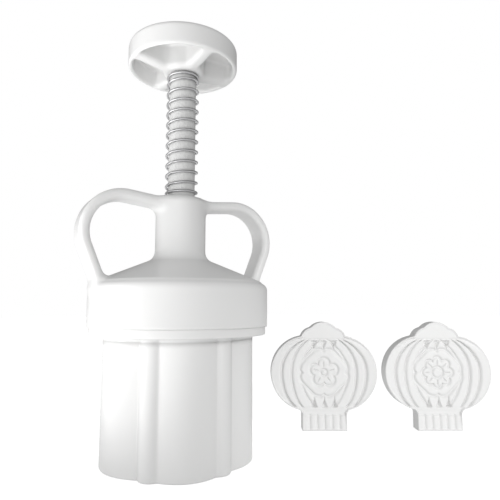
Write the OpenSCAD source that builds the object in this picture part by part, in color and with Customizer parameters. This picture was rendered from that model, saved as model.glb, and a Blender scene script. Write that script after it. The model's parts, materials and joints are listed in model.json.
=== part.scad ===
// Mooncake press: a lantern-shaped barrel, a twist-on handle with two finger loops,
// a sprung plunger with a palm knob, and two loose stamps.
// Millimetres, +Z up. The origin is the middle of the barrel's mouth, +X runs
// along the finger loops, and -Y is the front, where the lantern's crown points.

/* [Lantern outline] */
// Radius of each rounded side of the lantern
body_r = 20; // [18:0.5:22]
// Middle of the lantern to the centre of each side's arc
body_dx = 9; // [7:0.5:11]
// How far the sides' centres lie above the middle
body_dy = 1.5; // [0:0.5:3]
// Middle of the lantern to the top of its crown
crown_top = 29; // [27.5:0.5:31]
// Radius of the crown's dome
crown_r = 9.2; // [8.4:0.2:10]
// Radius of the shoulder beside the crown
shoulder_r = 6.8; // [6.2:0.2:7.4]
// Centre line to the centre of each shoulder
shoulder_dx = 5.7; // [5.2:0.1:6.4]
// Middle of the lantern to the centres of the shoulders
shoulder_dy = 19.2; // [18.4:0.2:20]
// Half the width of the lantern's foot
foot_half = 12.1; // [11:0.5:13]
// Middle of the lantern to the sole of its foot
foot_drop = 29; // [27.5:0.5:31]
// Half the width of the base ring above the foot
flare_half = 14.3; // [13.5:0.2:15]
// Middle of the lantern to the widest point of the base ring
flare_drop = 16.3; // [15.5:0.2:17.5]
// Height over which the base ring narrows to the foot
flare_h = 3.7; // [3:0.1:4.5]

/* [Stamps] */
// Thickness of a stamp from its face to its back
stamp_t = 9; // [8:0.5:11]
// Thickness of the stamp's face plate
stamp_plate_t = 4; // [3.4:0.2:5]
// Thickness of the skirt round the stamp's back
stamp_skirt = 1.8; // [1.4:0.1:2.4]
// Depth of the carved grooves
relief_depth = 1; // [0.6:0.1:1.4]
// Width of a carved groove
groove_w = 0.9; // [0.6:0.1:1.3]
// Half the width of the middle medallion
medal_half = 12.9; // [11:0.5:13.5]
// Radius of a stamp's peg
peg_r = 2.5; // [2:0.1:3]
// How far the pegs stand out of the stamp's back
peg_out = 5; // [4:0.5:6]
// Centre line to each peg
peg_dx = 14; // [12:0.5:16]
// Radial clearance of a peg in its socket
peg_clear = 0.1; // [0.05:0.01:0.15]
// Where the first loose stamp stands, from the press
blossom_spot = [86.5, 2.5];
// Where the second loose stamp stands, from the press
rosette_spot = [140, -29.5];
// How far the loose stamps are turned from the press's front
stamp_turn = -31; // [-40:1:0]

/* [Barrel] */
// Gap between a stamp and the barrel's cavity
stamp_clear = 0.4; // [0.3:0.05:0.6]
// Thickness of the barrel's wall
barrel_wall = 3.4; // [3:0.1:4.2]
// Height of the lantern-shaped wall below the flange
barrel_h = 54; // [52:1:58]
// Thickness of the flange under the handle
flange_t = 3.5; // [3:0.1:4.5]
// How far the flange stays inside the collar's outer face
flange_inset = 0.9; // [0.4:0.1:1.4]
// Least wall of the round spigot above the flange
spigot_wall = 3.2; // [2.8:0.1:3.6]
// Height of the spigot above the flange
spigot_h = 15.4; // [14.4:0.2:15.6]
// Turn of the lantern against the finger loops
barrel_turn = -15; // [-18:1:12]
// Radius of the wall's dome in front of the crown
wall_crown_r = 18; // [16:0.5:20]
// Radius of the narrow lobes beside the wall's dome
wall_shoulder_r = 5.4; // [4.8:0.2:6]
// Centre line to the centre of each narrow lobe
wall_shoulder_dx = 13.2; // [12.6:0.2:13.8]
// Middle of the lantern to the centres of the narrow lobes
wall_shoulder_dy = 23.4; // [22.6:0.2:24.2]
// Radius of the wall's front cheeks
wall_cheek_r = 20; // [18:0.5:22]
// How far the front cheeks' centres lie above the middle
wall_cheek_dy = 3.5; // [2:0.5:5.5]

/* [Bayonet] */
// How far a lug stands out of the spigot
lug_out = 1.9; // [1.6:0.1:2.2]
// Height of a lug
lug_h = 3.6; // [3:0.2:4.4]
// Angle that a lug or a ledge takes up
lug_angle = 24; // [20:1:26]
// Height of a ledge in the collar
ledge_h = 2.6; // [2:0.2:3]
// Gap between pieces that slide on each other
slide_gap = 0.3; // [0.25:0.05:0.4]
// Seam between the barrel's flange and the collar
seam_gap = 0.12; // [0.08:0.02:0.2]

/* [Handle] */
// Thickness of the collar's wall
collar_wall = 2.5; // [2.2:0.1:3]
// Height of the collar
collar_h = 19.1; // [18.7:0.2:21.1]
// Radius on the collar's upper edge
collar_round = 3; // [2:0.2:3.6]
// Height of the spring's seat above the collar
neck_h = 40.25; // [38:0.25:43]
// Outer radius of the neck
neck_r = 11.5; // [11.2:0.1:12]
// Slope of the roof between the collar and the neck, in degrees
roof_slope = 22.5; // [20:0.5:24]
// Step from the collar's rim up to the roof's outer edge
roof_step = 0.55; // [0.3:0.1:0.9]
// Thickness of the roof
roof_t = 2.6; // [2.2:0.1:3]
// Fillet between the roof and the neck
neck_fillet = 3; // [2:0.5:4]
// Radius of the hole in a finger loop
finger_r = 14.6; // [13.6:0.2:15.4]
// Width of a loop's bar, seen from the front
bar_w = 4.5; // [4.2:0.1:5.2]
// Depth of a loop's bar, front to back
bar_d = 12; // [10:0.5:14]
// Rounding of the bar's edges
bar_round = 2; // [1.4:0.1:2]
// How far a loop stands out past the collar
loop_overhang = 6.5; // [5.5:0.1:7.5]
// Depth of the bar's middle below the spring's seat, at the neck
bar_drop = 3.8; // [3.4:0.2:5]

/* [Plunger] */
// Travel of the plunger
stroke = 40; // [36:1:41]
// Length of the spring with the knob up
spring_len = 59.6; // [58:0.2:64]
// Radius of the rod
rod_r = 6.2; // [5.9:0.1:6.3]
// Radial clearance of the rod in its guides
guide_clear = 0.07; // [0.04:0.01:0.09]
// Radius of the hollow inside the neck
hollow_r = 8.9; // [8.4:0.1:9.2]
// Length of the guide at the top of the neck
guide_h = 11; // [9:0.5:14]
// Height of the bush in the neck
bush_h = 8; // [6:0.5:10]
// Thickness of the bush's flange
bush_flange_t = 1.6; // [1.2:0.1:2]
// Gap round the piston plate in the barrel
piston_clear = 0.35; // [0.3:0.05:0.5]
// Thickness of the piston plate
piston_t = 3; // [2.6:0.1:3.6]
// Height of the piston's skirt
piston_skirt_h = 11; // [9:0.5:13]
// Thickness of the piston's skirt and ribs
piston_wall = 2; // [1.6:0.1:2.4]
// Outer radius of the piston's hub
hub_r = 9; // [8.6:0.1:9.6]

/* [Fasteners] */
// Radius of the screws' shanks
screw_r = 2; // [1.6:0.1:2.4]
// Length of a screw's shank below its washer
screw_len = 20; // [16:1:24]
// Radius of the screws' heads
screw_head_r = 4.2; // [3.8:0.1:4.6]
// Height of the screws' heads
screw_head_h = 2.6; // [2.2:0.1:3]
// Radius of the washers
washer_r = 6; // [5.4:0.1:6.4]
// Thickness of the washers
washer_t = 1; // [0.8:0.1:1.2]
// Radial clearance of a screw in its hole
screw_clear = 0.4; // [0.2:0.1:0.6]
// Thickness of the web that a screw clamps
web_t = 3; // [2.4:0.2:4]

/* [Knob] */
// Radius of the knob
knob_r = 25.8; // [25:0.2:28]
// Thickness of the knob at its edge
knob_t = 11.4; // [10.4:0.2:12.4]
// Radius on the knob's upper and lower edges
knob_round = 2.4; // [1.6:0.2:3]
// Thickness of the knob's rim
knob_rim = 2.4; // [2:0.1:3]
// How far the boss hangs below the knob's edge
boss_drop = 2.2; // [1.8:0.1:2.8]
// Radius of the boss where the spring bears
boss_r = 8.2; // [8:0.1:8.6]
// Width of the four webs between the pockets
spoke_w = 6; // [5:0.5:8]
// Thickness of the knob's top above its pockets
knob_top_t = 2.6; // [2.2:0.1:3.2]
// Radius of the round wall inside the pockets
pocket_in_r = 10; // [9.6:0.1:10.6]
// Turn of the webs against the finger loops
spoke_turn = 5; // [0:5:45]
// Radius of the cap over the knob's screw
cap_r = 11.5; // [10.6:0.2:12.5]
// Thickness of the cap
cap_t = 1.2; // [1:0.1:1.6]

/* [Spring] */
// Diameter of the spring's wire
wire_d = 1.1; // [0.9:0.05:1.2]
// Radius of the spring to the middle of its wire
coil_r = 7.1; // [7:0.05:7.3]
// Turns of the spring, with its two flat ends
coil_turns = 13; // [11:1:14]
// Rise of the flat turn at each end
end_rise = 1.75; // [1.7:0.05:1.9]
// Gap left between the spring and what it bears on
seat_gap = 0.08; // [0.05:0.01:0.15]

/* [Hidden] */
$fn = 96;
eps = 0.01;
plastic = [0.95, 0.95, 0.94];
steel = [0.70, 0.71, 0.73];

// The barrel and the collar, from the lantern outwards
cavity_grow = stamp_clear;
cavity_reach = max(norm([foot_half + cavity_grow, foot_drop + cavity_grow]),
                   crown_top + cavity_grow, body_dx + body_r + cavity_grow);
spigot_r = cavity_reach + spigot_wall;
collar_in_r = spigot_r + lug_out + 1.5 * slide_gap;
collar_r = collar_in_r + collar_wall;
flange_top = barrel_h + flange_t;
collar_z = flange_top + seam_gap;
collar_top = collar_z + collar_h;
lug_z = collar_z + ledge_h + slide_gap;
ledge_lift = 0.4;
lug_count = 3;

// The roof, the neck and the loops
roof_edge_r = collar_r - collar_round + 0.5;
roof_edge_z = collar_top + roof_step;
neck_top = collar_top + neck_h;
seat_r = 8;
neck_chamfer = [neck_r - seat_r, 2.6];
roof_inner_step = roof_t / cos(roof_slope);
bush_seat_z = collar_top + 3.25;
ceiling_z = collar_top - roof_t;
ceiling_r = collar_in_r - 3;
loop_r = finger_r + bar_w / 2;
loop_slope = 6;
loop_lean = 22;
loop_cx = collar_r + loop_overhang - bar_w - finger_r;
bar_end_r = neck_r - 3;
loop_rise_x = loop_cx - loop_r * sin(loop_slope) - neck_r;
loop_cz = neck_top - bar_drop + loop_rise_x * tan(loop_slope) - loop_r * cos(loop_slope);
leg_sink = 2.4;
bar_lap = 0.3;
bar_step = 0.05;
loop_fillet = 4;

// The plunger, from the barrel's mouth upwards
piston_z = stroke + stamp_t;
hub_top = bush_seat_z - bush_flange_t - slide_gap;
hub_web_z = piston_z + washer_t + screw_head_h + 0.4;
rod_z = hub_web_z + web_t;
boss_z = neck_top + spring_len;
knob_z = boss_z + boss_drop;
knob_top = knob_z + knob_t;
knob_web_z = knob_top - cap_t - 0.4 - screw_head_h - washer_t - web_t;
guide_r = rod_r + guide_clear;
screw_hole_r = screw_r + screw_clear;
screw_room_r = washer_r + 0.6;
peg_hole_r = peg_r + peg_clear;
peg_boss_r = peg_r + 2.2;

// The spring's wire
wire_sides = 6;
rings_per_turn = 12;
spring_z = neck_top + seat_gap + wire_d / 2;
spring_rise = spring_len - 2 * seat_gap - wire_d;
mid_turns = coil_turns - 2;
mid_pitch = (spring_rise - 2 * end_rise) / mid_turns;

// Points on an arc about c from angle a to angle b
function arc(c, r, a, b, n = 8) =
    [for (i = [0 : n]) c + r * [cos(a + (b - a) * i / n), sin(a + (b - a) * i / n)]];

// Height of the roof's outer face at radius r
function roof_z(r) = roof_edge_z + (roof_edge_r - r) * tan(roof_slope);

// The lantern, with its outline moved outwards by grow
module lantern(grow = 0) {
    flare_dir = [flare_half - foot_half, flare_h];
    flare_out = grow * [flare_dir.y, -flare_dir.x] / norm(flare_dir);
    wide = [flare_half, -flare_drop] + flare_out;
    narrow = [foot_half, -flare_drop - flare_h] + flare_out;
    for (side = [-1, 1]) {
        translate([side * body_dx, body_dy]) circle(body_r + grow);
        translate([side * shoulder_dx, shoulder_dy]) circle(shoulder_r + grow);
    }
    translate([-body_dx, body_dy - body_r - grow]) square([2 * body_dx, 2 * (body_r + grow)]);
    translate([0, crown_top - crown_r]) circle(crown_r + grow);
    translate([-foot_half - grow, -foot_drop - grow]) square([2 * (foot_half + grow), foot_drop + grow]);
    polygon([wide, narrow, [-narrow.x, narrow.y], [-wide.x, wide.y]]);
}

// The barrel's outer wall: the lantern moved outwards, with a fuller front
module wall_outline() {
    grow = cavity_grow + barrel_wall;
    lantern(grow);
    translate([0, crown_top + grow - wall_crown_r]) circle(wall_crown_r);
    for (side = [-1, 1]) {
        translate([side * wall_shoulder_dx, wall_shoulder_dy]) circle(wall_shoulder_r);
        translate([side * (body_dx + body_r + grow - wall_cheek_r), wall_cheek_dy]) circle(wall_cheek_r);
    }
}

// A ring segment centred on an angle
module ring_segment(r_in, r_out, h, angle) {
    rotate([0, 0, -angle / 2])
        rotate_extrude(angle = angle) translate([r_in, 0]) square([r_out - r_in, h]);
}

// The lantern turned so that its crown points to the front
module to_front() {
    rotate([0, 0, 180 + barrel_turn]) children();
}

module barrel() {
    color(plastic) difference() {
        union() {
            to_front() linear_extrude(barrel_h + eps) wall_outline();
            translate([0, 0, barrel_h]) cylinder(r = collar_r - flange_inset, h = flange_t);
            translate([0, 0, flange_top - eps]) cylinder(r = spigot_r, h = spigot_h + eps);
            for (i = [0 : lug_count - 1])
                rotate([0, 0, 90 + i * 360 / lug_count]) translate([0, 0, lug_z])
                    ring_segment(spigot_r - 1, spigot_r + lug_out, lug_h, lug_angle);
        }
        to_front() translate([0, 0, -1]) linear_extrude(flange_top + spigot_h + 2) lantern(cavity_grow);
    }
}

// Section of a loop's bar: width along X, depth along Y, rounded edges
module bar_section(grow = 0) {
    w = bar_w - 2 * bar_round;
    d = bar_d - 2 * bar_round;
    r = bar_round + grow;
    square([w + 2 * r, d], center = true);
    square([w, d + 2 * r], center = true);
    for (x = [-1, 1], y = [-1, 1])
        translate([x * w / 2, y * d / 2]) circle(r, $fn = 48);
}

// A straight bar from a point in the loop's plane, along a direction. It is a hair
// thicker than the bend that it continues and sleeves over the bend's end.
module bar_run(from, angle, length) {
    translate([from.x, from.y, 0]) rotate([0, 0, angle]) rotate([90, 0, 90])
        translate([0, 0, -bar_lap]) linear_extrude(length + bar_lap) bar_section(bar_step);
}

// A concave corner filler, tangent to the bar above or below it
module corner_fill(at, turn, r, back) {
    translate([at.x, at.y, 0]) rotate([0, 0, turn])
        linear_extrude(bar_d - 2 * bar_round, center = true) difference() {
            translate([-back, -r]) square([r + back, r + back]);
            translate([r, -r]) circle(r, $fn = 48);
            translate([r, -r - eps]) square([r, r + back + 2 * eps]);
        }
}

module finger_loop() {
    top = [loop_cx - loop_r * sin(loop_slope), loop_cz + loop_r * cos(loop_slope)];
    low = [loop_cx + loop_r * cos(loop_lean), loop_cz - loop_r * sin(loop_lean)];
    leg = (low.y - collar_top + leg_sink) / cos(loop_lean);
    rotate([90, 0, 0]) {
        translate([loop_cx, loop_cz, 0]) rotate([0, 0, -loop_lean])
            rotate_extrude(angle = 90 + loop_slope + loop_lean) translate([loop_r, 0]) bar_section();
        bar_run(top, 180 + loop_slope, (top.x - bar_end_r) / cos(loop_slope));
        bar_run(low, 270 - loop_lean, leg);
        corner_fill([neck_r, top.y - (top.x - neck_r) * tan(loop_slope) - bar_w / 2 / cos(loop_slope)],
                    loop_slope, loop_fillet, 1.8);
    }
}

// Outer profile of the collar, roof and neck
module housing_profile() {
    fillet_c = [neck_r + neck_fillet, roof_z(neck_r + neck_fillet) + neck_fillet / cos(roof_slope)];
    polygon(concat(
        [[0, collar_z], [collar_r, collar_z]],
        arc([collar_r - collar_round, collar_top - collar_round], collar_round, 0, 90),
        [[roof_edge_r - 0.5, collar_top], [roof_edge_r - 1, roof_z(roof_edge_r - 1)]],
        arc(fillet_c, neck_fillet, 270 - roof_slope, 180),
        [[neck_r, neck_top - neck_chamfer.y], [neck_r - neck_chamfer.x, neck_top], [0, neck_top]]));
}

// The hollow that the barrel's spigot and the piston go into
module housing_hollow() {
    hip_r = roof_edge_r - (bush_seat_z + roof_inner_step - roof_edge_z) / tan(roof_slope);
    polygon([[0, collar_z - 1], [collar_in_r, collar_z - 1], [collar_in_r, ceiling_z],
             [ceiling_r, ceiling_z], [ceiling_r - 1, roof_z(ceiling_r - 1) - roof_inner_step],
             [hip_r, bush_seat_z], [0, bush_seat_z]]);
}

module handle_housing() {
    color(plastic) {
        difference() {
            union() {
                rotate_extrude() housing_profile();
                for (turn = [0, 180]) rotate([0, 0, turn]) finger_loop();
            }
            rotate_extrude() housing_hollow();
            translate([0, 0, bush_seat_z - eps]) cylinder(r = hollow_r, h = neck_top - guide_h - bush_seat_z);
            translate([0, 0, bush_seat_z]) cylinder(r = guide_r, h = neck_h);
        }
        for (i = [0 : lug_count - 1]) rotate([0, 0, 90 + i * 360 / lug_count]) {
            translate([0, 0, collar_z + ledge_lift])
                ring_segment(spigot_r + slide_gap, collar_in_r + 1, ledge_h - ledge_lift, lug_angle);
            rotate([0, 0, lug_angle / 2 + 2.5]) translate([0, 0, collar_z + ledge_lift])
                ring_segment(spigot_r + slide_gap, collar_in_r + 1, lug_z + lug_h - collar_z - ledge_lift, 3);
        }
    }
}

module guide_bush() {
    color(plastic) difference() {
        union() {
            translate([0, 0, bush_seat_z - bush_flange_t]) cylinder(r = hollow_r + 1.6, h = bush_flange_t);
            translate([0, 0, bush_seat_z - eps]) cylinder(r = hollow_r, h = bush_h + eps);
        }
        translate([0, 0, bush_seat_z - bush_flange_t - 1]) cylinder(r = guide_r, h = bush_h + bush_flange_t + 2);
    }
}

module plunger_rod() {
    color(plastic) translate([0, 0, rod_z]) difference() {
        cylinder(r = rod_r, h = knob_web_z - rod_z);
        translate([0, 0, -1]) cylinder(r = screw_r, h = knob_web_z - rod_z + 2);
    }
}

module piston_plate() {
    outline = cavity_grow - piston_clear;
    color(plastic) difference() {
        union() {
            to_front() translate([0, 0, piston_z]) {
                linear_extrude(piston_t) lantern(outline);
                linear_extrude(piston_skirt_h) difference() {
                    lantern(outline);
                    lantern(outline - piston_wall);
                }
                for (side = [-1, 1]) {
                    translate([side * peg_dx, body_dy, piston_t / 2])
                        cylinder(r = peg_boss_r, h = piston_skirt_h - piston_t / 2);
                    translate([side * (body_dx + body_r + hub_r) / 2, body_dy, piston_skirt_h / 2])
                        cube([body_dx + body_r - hub_r, piston_wall, piston_skirt_h], center = true);
                }
                translate([-piston_wall / 2, -foot_drop + piston_wall / 2, 0])
                    cube([piston_wall, foot_drop + crown_top - piston_wall, piston_skirt_h]);
            }
            translate([0, 0, piston_z + piston_t / 2]) cylinder(r = hub_r, h = hub_top - piston_z - piston_t / 2);
        }
        translate([0, 0, piston_z - 1]) cylinder(r = screw_room_r, h = hub_web_z - piston_z + 1);
        translate([0, 0, piston_z]) cylinder(r = screw_hole_r, h = rod_z - piston_z + 1);
        translate([0, 0, rod_z]) cylinder(r = rod_r, h = hub_top - rod_z + 1);
        to_front() for (side = [-1, 1])
            translate([side * peg_dx, body_dy, piston_z - 1]) cylinder(r = peg_hole_r, h = piston_skirt_h + 2);
    }
}

// A washer lying on z = 0
module washer() {
    difference() {
        cylinder(r = washer_r, h = washer_t);
        translate([0, 0, -1]) cylinder(r = screw_hole_r, h = washer_t + 2);
    }
}

// A pan-head screw with a cross slot, its head standing on z = 0 and its shank below
module screw() {
    slot_w = 1;
    slot_deep = 1.4;
    dome = 0.8;
    difference() {
        union() {
            cylinder(r = screw_head_r, h = screw_head_h - dome);
            translate([0, 0, screw_head_h - dome - eps])
                cylinder(r1 = screw_head_r, r2 = screw_head_r - dome, h = dome + eps);
            translate([0, 0, -screw_len]) cylinder(r = screw_r, h = screw_len + eps);
        }
        for (turn = [0, 90]) rotate([0, 0, turn])
            translate([-screw_head_r / 2, -slot_w / 2, screw_head_h - slot_deep])
                cube([screw_head_r, slot_w, slot_deep + 1]);
    }
}

module piston_washer() {
    color(steel) translate([0, 0, hub_web_z - washer_t]) washer();
}

module piston_screw() {
    color(steel) translate([0, 0, hub_web_z - washer_t]) mirror([0, 0, 1]) screw();
}

module knob_washer() {
    color(steel) translate([0, 0, knob_web_z + web_t]) washer();
}

module knob_screw() {
    color(steel) translate([0, 0, knob_web_z + web_t + washer_t]) screw();
}

// Side profile of the knob: rounded rim, sunk conical underside and boss
module knob_profile() {
    under_r = knob_r - knob_rim;
    polygon(concat(
        [[0, boss_z], [boss_r, boss_z], [under_r, knob_z]],
        arc([knob_r - knob_round, knob_z + knob_round], knob_round, -60, 0),
        arc([knob_r - knob_round, knob_top - knob_round], knob_round, 0, 90),
        [[0, knob_top]]));
}

module knob() {
    pocket_out_r = knob_r - knob_rim;
    color(plastic) difference() {
        rotate_extrude() knob_profile();
        difference() {
            translate([0, 0, boss_z - 1]) cylinder(r = pocket_out_r, h = knob_top - knob_top_t - boss_z + 1);
            translate([0, 0, boss_z - 2]) cylinder(r = pocket_in_r, h = knob_t + boss_drop + 2);
            rotate([0, 0, spoke_turn]) for (turn = [0, 90]) rotate([0, 0, turn])
                translate([-knob_r, -spoke_w / 2, boss_z - 2]) cube([2 * knob_r, spoke_w, knob_t + boss_drop + 2]);
        }
        translate([0, 0, boss_z - 1]) cylinder(r = rod_r, h = knob_web_z - boss_z + 1);
        translate([0, 0, boss_z]) cylinder(r = screw_hole_r, h = knob_t + boss_drop);
        translate([0, 0, knob_web_z + web_t]) cylinder(r = screw_room_r, h = knob_t);
        translate([0, 0, knob_top - cap_t]) cylinder(r = cap_r, h = cap_t + 1);
    }
}

module knob_cap() {
    color(plastic) translate([0, 0, knob_top - cap_t]) cylinder(r = cap_r, h = cap_t);
}

// Height of the wire's middle after t turns: a flat turn, the open turns, a flat turn
function wire_z(t) =
    t < 1 ? spring_z + end_rise * t :
    t > coil_turns - 1 ? spring_z + spring_rise - end_rise * (coil_turns - t) :
    spring_z + end_rise + mid_pitch * (t - 1);

// Centre of the wire after t turns, with a straight end one wire diameter long
function wire_at(t) =
    t < 0 ? [coil_r, 0, wire_z(0)] + [0, -wire_d, 0] :
    t > coil_turns ? [coil_r * cos(360 * coil_turns), coil_r * sin(360 * coil_turns), wire_z(coil_turns)]
                     + wire_d * [-sin(360 * coil_turns), cos(360 * coil_turns), 0] :
    [coil_r * cos(360 * t), coil_r * sin(360 * t), wire_z(t)];

// One ring of the wire: outward and upward directions span its section
function wire_ring(t) =
    let (turn = 360 * min(max(t, 0), coil_turns), out = [cos(turn), sin(turn), 0], up = [0, 0, 1])
    [for (k = [0 : wire_sides - 1])
        wire_at(t) + wire_d / 2 * (out * cos(360 * k / wire_sides) + up * sin(360 * k / wire_sides))];

wire_steps = concat([-1], [for (i = [0 : coil_turns * rings_per_turn]) i / rings_per_turn], [coil_turns + 1]);
wire_points = [for (t = wire_steps) each wire_ring(t)];
wire_rings = len(wire_steps);
wire_faces = concat(
    [for (k = [1 : wire_sides - 2]) [0, k, k + 1]],
    [for (i = [0 : wire_rings - 2], k = [0 : wire_sides - 1])
        let (a = i * wire_sides + k, b = i * wire_sides + (k + 1) % wire_sides) each
        [[a, a + wire_sides, b], [b, a + wire_sides, b + wire_sides]]],
    [for (k = [1 : wire_sides - 2]) let (last = (wire_rings - 1) * wire_sides) [last, last + k + 1, last + k]]);

// The least gap of the wire to its next turn, measured between ring centres
wire_centres = [for (t = wire_steps) wire_at(t)];
wire_gaps = [for (i = [0 : wire_rings - 1], j = [i + rings_per_turn - 3 : min(wire_rings - 1, i + rings_per_turn + 3)])
             if (j < wire_rings) norm(wire_centres[i] - wire_centres[j]) - wire_d];
echo(least_gap_between_turns = min(wire_gaps), solid_length = coil_turns * wire_d, pitch = mid_pitch);

module return_spring() {
    color(steel) polyhedron(wire_points, wire_faces);
}

// A groove along an arc of the lantern's ribs, mirrored to both sides
module rib_groove(half) {
    reach = body_r - 1.5;
    r = (half * half + reach * reach) / (2 * half);
    intersection() {
        for (side = [-1, 1]) translate([side * (half - r), body_dy]) difference() {
            circle(r + groove_w / 2);
            circle(r - groove_w / 2);
        }
        translate([-half - groove_w, body_dy - reach + 1]) square([2 * (half + groove_w), 2 * reach - 2]);
        for (side = [-1, 1]) translate([side * (half - r), body_dy]) circle(r + groove_w);
    }
}

// The stamp's flat outline features, cut into its face
module stamp_grooves() {
    for (half = [0.60, 0.78]) rib_groove(half * (body_dx + body_r));
    difference() {
        translate([0, body_dy]) rotate(45) square(medal_half * sqrt(2), center = true);
        translate([0, body_dy]) rotate(45) square((medal_half - groove_w) * sqrt(2), center = true);
    }
    flutes = 6;
    for (i = [0 : flutes - 2])
        translate([(i + 1 - flutes / 2) * 2 * foot_half / flutes - groove_w / 2, -foot_drop - 1])
            square([groove_w, foot_drop - flare_drop - flare_h + 1]);
}

// A stamp standing on its foot, its face to the front, on the point z = 0
module stamp_body() {
    rotate([90, 0, 0]) translate([0, foot_drop, 0]) {
        difference() {
            translate([0, 0, -stamp_t]) linear_extrude(stamp_t) lantern(0);
            translate([0, 0, -relief_depth]) linear_extrude(relief_depth + 1) stamp_grooves();
            translate([0, 0, -stamp_t - 1]) linear_extrude(stamp_t - stamp_plate_t + 1) lantern(-stamp_skirt);
            children();
        }
        for (side = [-1, 1])
            translate([side * peg_dx, body_dy, -stamp_t - peg_out])
                cylinder(r = peg_r, h = stamp_t + peg_out - stamp_plate_t + eps);
    }
}

// Round petals about the middle of the medallion, carved into the face
module petals(count, petal_r, ring_r, heart_r) {
    translate([0, body_dy, -relief_depth]) linear_extrude(relief_depth + 1) {
        for (i = [0 : count - 1]) rotate(90 + i * 360 / count) translate([ring_r, 0]) circle(petal_r, $fn = 32);
        circle(heart_r, $fn = 32);
    }
}

module stamp_blossom() {
    color(plastic) translate([blossom_spot.x, blossom_spot.y, 0]) rotate([0, 0, stamp_turn])
        stamp_body() petals(5, 2, 4.6, 1.4);
}

module stamp_rosette() {
    color(plastic) translate([rosette_spot.x, rosette_spot.y, 0]) rotate([0, 0, stamp_turn])
        stamp_body() petals(8, 1.3, 5.2, 2.2);
}

barrel();
handle_housing();
guide_bush();
plunger_rod();
piston_plate();
piston_washer();
piston_screw();
return_spring();
knob();
knob_washer();
knob_screw();
knob_cap();
stamp_blossom();
stamp_rosette();
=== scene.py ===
# %% [markdown]
# # A mooncake press and its loose stamps
# The press is moulded in white plastic: a lantern-shaped barrel, a handle with two finger loops that
# twists onto it, and a plunger under a palm knob with a bright steel spring round its rod. Two stamps
# with a ribbed lantern face stand beside it. Sizes are in millimetres until a mesh is made.

# %% Frame and tools
import json

import bpy
import numpy as np
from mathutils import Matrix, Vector

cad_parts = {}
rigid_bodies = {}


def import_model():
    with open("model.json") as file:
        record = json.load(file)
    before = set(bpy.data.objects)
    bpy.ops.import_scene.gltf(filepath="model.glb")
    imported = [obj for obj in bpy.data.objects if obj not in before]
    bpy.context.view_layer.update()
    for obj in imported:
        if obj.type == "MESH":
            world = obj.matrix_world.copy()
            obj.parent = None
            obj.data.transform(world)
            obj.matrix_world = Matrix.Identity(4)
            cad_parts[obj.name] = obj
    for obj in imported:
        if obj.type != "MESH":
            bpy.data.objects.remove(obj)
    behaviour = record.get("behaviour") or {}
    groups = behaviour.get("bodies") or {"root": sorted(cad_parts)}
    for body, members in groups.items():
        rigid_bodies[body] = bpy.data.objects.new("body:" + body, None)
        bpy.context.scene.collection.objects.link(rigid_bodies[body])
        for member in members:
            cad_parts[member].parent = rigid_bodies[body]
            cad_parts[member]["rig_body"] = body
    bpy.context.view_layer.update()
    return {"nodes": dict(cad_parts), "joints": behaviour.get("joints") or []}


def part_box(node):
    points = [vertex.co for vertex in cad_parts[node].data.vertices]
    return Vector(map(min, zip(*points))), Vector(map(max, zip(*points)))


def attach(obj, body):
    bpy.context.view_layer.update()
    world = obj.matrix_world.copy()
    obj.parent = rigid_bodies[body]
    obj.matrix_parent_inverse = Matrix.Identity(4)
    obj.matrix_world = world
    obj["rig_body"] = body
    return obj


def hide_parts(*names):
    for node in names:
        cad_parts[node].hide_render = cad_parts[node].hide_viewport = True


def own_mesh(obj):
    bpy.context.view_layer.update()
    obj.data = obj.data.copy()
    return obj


MM = 0.001
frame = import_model()


def span(node):
    """Lowest and highest corner of a CAD node, in millimetres."""
    low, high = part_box(node)
    return np.array(low) / MM, np.array(high) / MM


# %% [markdown]
# ## Camera
# The photograph looks slightly up at the press from a hand's breadth above the table. The lens and the
# tilt come from the photograph's own perspective: how much the knob opens up seen from below, and how
# much the barrel's mouth curves.

# %% Camera
CAMERA_SPOT = (-87.43, -205.98, 66.26)
CAMERA_PITCH = 6.724
CAMERA_AZIMUTH = 31.276
LENS = 34.75

lens = bpy.data.cameras.new("photo_camera")
lens.lens = LENS
lens.sensor_width = 36.0
lens.clip_start = 0.01
camera = bpy.data.objects.new("photo_camera", lens)
camera.location = np.array(CAMERA_SPOT) * MM
camera.rotation_euler = np.radians([90 + CAMERA_PITCH, 0, -CAMERA_AZIMUTH])
bpy.context.scene.collection.objects.link(camera)
bpy.context.scene.camera = camera
to_front = np.array([-np.sin(np.radians(CAMERA_AZIMUTH)), -np.cos(np.radians(CAMERA_AZIMUTH)), 0])
to_left = np.array([to_front[1], -to_front[0], 0])
print("camera, mm:", CAMERA_SPOT, "lens, mm:", LENS)

# %% [markdown]
# ## Shader sums
# A shader's numbers are node outputs. Wrapping an output in a small class lets a material be written
# like ordinary arithmetic, and every operation adds its Math node.

# %% Shader helper
class Wire:
    """A node's output that can be added, subtracted and multiplied."""

    def __init__(self, paint, socket):
        self.paint, self.socket = paint, socket

    def _sum(self, operation, a, b):
        return self.paint.node("ShaderNodeMath", {"operation": operation}, {0: a, 1: b})

    def __add__(self, other):
        return self._sum("ADD", self, other)

    def __sub__(self, other):
        return self._sum("SUBTRACT", self, other)

    def __rsub__(self, other):
        return self._sum("SUBTRACT", other, self)

    def __mul__(self, other):
        return self._sum("MULTIPLY", self, other)

    __radd__, __rmul__ = __add__, __mul__


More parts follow.
